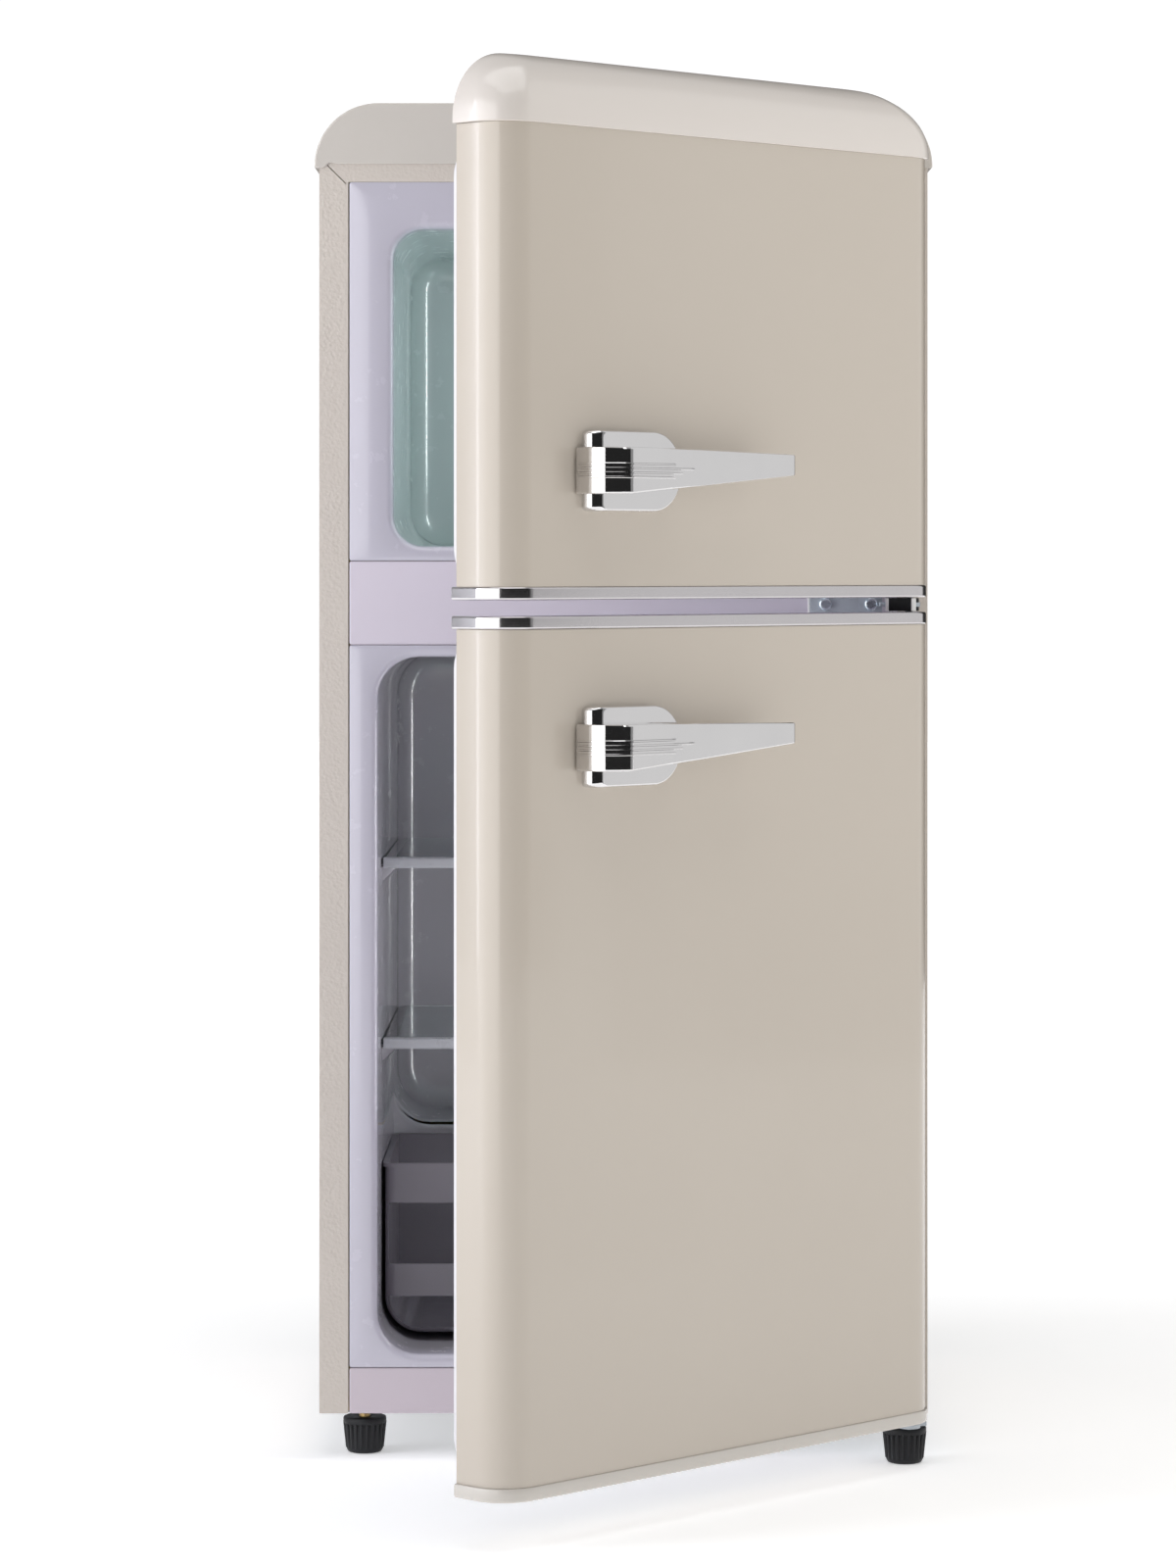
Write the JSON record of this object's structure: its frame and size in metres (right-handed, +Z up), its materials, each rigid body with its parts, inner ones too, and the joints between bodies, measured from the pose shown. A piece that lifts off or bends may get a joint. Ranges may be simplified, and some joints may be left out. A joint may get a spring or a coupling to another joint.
{
  "type": "mini fridge",
  "caption": "Retro two-door mini fridge, freezer above, both doors ajar, rounded caps, chrome lever handles, glass shelves, basket and a compressor bay at the back.",
  "frame": {"origin": "middle of the outline box on the floor, both doors ajar", "axes": "+Z up, the doors face -Y, +X towards the hinge side"},
  "size_m": [0.447, 0.7696, 0.984],
  "materials": {
    "cream_enamel": "gloss",
    "cream_moulding": "gloss",
    "back_steel": "satin",
    "galvanised": "satin",
    "foam": "matte",
    "liner_white": "satin",
    "aluminium": "satin",
    "copper": "satin",
    "zinc": "satin",
    "black_paint": "satin",
    "black_rubber": "matte",
    "black_plastic": "satin",
    "tray_white": "satin",
    "shelf_glass": "gloss",
    "shelf_trim": "satin",
    "lamp_lens": "satin",
    "chrome": "polished",
    "gasket_white": "matte",
    "clear_plastic": "gloss",
    "bearing_white": "satin",
    "brass": "satin"
  },
  "bodies": {
    "cabinet": {"cabinet_shell": "cream_enamel", "top_cap": "cream_moulding", "back_panel": "back_steel", "base_pan": "galvanised", "cabinet_foam": "foam", "freezer_liner": "liner_white", "fridge_liner": "liner_white", "mid_beam_panel": "liner_white", "mid_beam_stiffener": "zinc", "bottom_front_panel": "liner_white", "evaporators": "aluminium", "machine_rail": "galvanised", "compressor": "black_paint", "compressor_grommets": "black_rubber", "relay_cover": "black_plastic", "cord_gland": "black_rubber", "drip_tray": "tray_white", "filter_drier": "copper", "refrigerant_tubes": "copper", "glass_shelves": "shelf_glass", "shelf_trims": "shelf_trim", "crisper_basket": "liner_white", "thermostat_housing": "liner_white", "lamp_lens": "lamp_lens", "top_hinge": "zinc", "mid_hinge": "zinc", "bottom_hinge": "zinc", "hinge_pins": "zinc", "hinge_spacers": "black_plastic", "cabinet_fasteners": "zinc", "rear_feet": "black_plastic"},
    "freezer_door": {"freezer_door_skin": "cream_enamel", "freezer_door_cap": "cream_moulding", "freezer_door_trim": "chrome", "freezer_door_end": "liner_white", "freezer_door_foam": "foam", "freezer_door_liner": "liner_white", "freezer_door_gasket": "gasket_white", "freezer_door_bin": "clear_plastic", "freezer_door_bushes": "bearing_white", "freezer_handle_base": "chrome", "freezer_handle_lever": "chrome", "freezer_handle_screws": "zinc"},
    "fridge_door": {"fridge_door_skin": "cream_enamel", "fridge_door_band": "cream_moulding", "fridge_door_trim": "chrome", "fridge_door_end": "liner_white", "fridge_door_foam": "foam", "fridge_door_liner": "liner_white", "fridge_door_gasket": "gasket_white", "fridge_door_bins": "clear_plastic", "fridge_door_bushes": "bearing_white", "fridge_handle_base": "chrome", "fridge_handle_lever": "chrome", "fridge_handle_screws": "zinc"},
    "thermostat_knob": {"thermostat_knob": "liner_white"},
    "left_foot_stud": {"left_foot_stud": "brass"},
    "left_foot_cup": {"left_foot_cup": "black_plastic"},
    "right_foot_stud": {"right_foot_stud": "brass"},
    "right_foot_cup": {"right_foot_cup": "black_plastic"}
  },
  "joints": [
    {"name": "freezer_door_hinge", "type": "hinge", "parent": "cabinet", "child": "freezer_door", "pos_m": [0.204, -0.07724, 0.8], "axis": [0, 0, 1], "range_deg": [-46, 74]},
    {"name": "fridge_door_hinge", "type": "hinge", "parent": "cabinet", "child": "fridge_door", "pos_m": [0.204, -0.07724, 0.32], "axis": [0, 0, 1], "range_deg": [-46, 74]},
    {"name": "thermostat_turn", "type": "hinge", "parent": "cabinet", "child": "thermostat_knob", "pos_m": [0.088, 0.15876, 0.531], "axis": [0, 0, -1], "range_deg": [0, 270]},
    {"name": "left_foot_travel", "type": "slide", "parent": "cabinet", "child": "left_foot_stud", "axis": [0, 0, -1], "range_m": [0, 0.01]},
    {"name": "left_foot_turn", "type": "hinge", "parent": "left_foot_stud", "child": "left_foot_cup", "pos_m": [-0.188, -0.01524, 0.013], "axis": [0, 0, -1], "range_deg": [0, 2881]},
    {"name": "right_foot_travel", "type": "slide", "parent": "cabinet", "child": "right_foot_stud", "axis": [0, 0, -1], "range_m": [0, 0.01]},
    {"name": "right_foot_turn", "type": "hinge", "parent": "right_foot_stud", "child": "right_foot_cup", "pos_m": [0.202, -0.05724, 0.013], "axis": [0, 0, -1], "range_deg": [0, 2881]}
  ],
  "couplings": [
    {"joint": "left_foot_turn", "follows": "left_foot_travel", "rad_per_m": 5026.5},
    {"joint": "right_foot_turn", "follows": "right_foot_travel", "rad_per_m": 5026.5}
  ]
}
